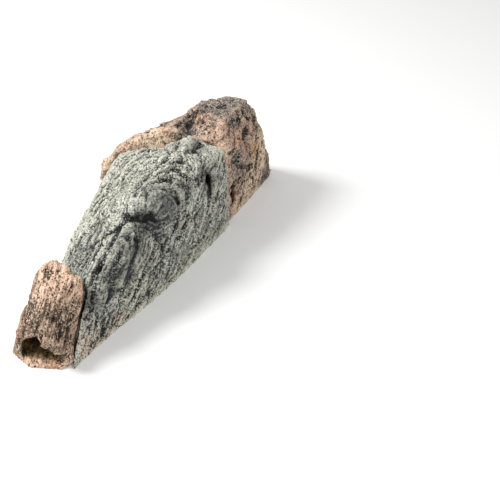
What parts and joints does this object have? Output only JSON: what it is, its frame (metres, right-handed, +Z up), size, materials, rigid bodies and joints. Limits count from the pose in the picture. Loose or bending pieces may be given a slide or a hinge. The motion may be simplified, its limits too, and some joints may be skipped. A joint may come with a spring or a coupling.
{
  "type": "resin cave ornament",
  "caption": "Hollow resin rock for an aquarium floor: a grey gneiss ridge with a tall reddish granite block at one end and a small pink boulder with a cave mouth at the other.",
  "frame": {"origin": "middle of the footprint's bounding box, on the floor that the rock stands on", "axes": "+X from the boulder to the block, +Y from the steep front to the sloping back, +Z up"},
  "size_m": [0.52, 0.218, 0.132],
  "materials": {
    "gneiss_resin": "matt, painted as grey-green banded gneiss",
    "granite_resin": "matt, painted as reddish-brown granite with dark patches",
    "boulder_resin": "matt, painted as pink granite",
    "putty": "matt, dark",
    "ballast": "rough, sand in resin"
  },
  "bodies": {
    "root": {"gneiss_shell": "gneiss_resin", "block_shell": "granite_resin", "boulder_shell": "boulder_resin", "block_seam_putty": "putty", "boulder_seam_putty": "putty", "front_ballast": "ballast", "back_ballast": "ballast", "block_ballast": "ballast"}
  },
  "joints": []
}
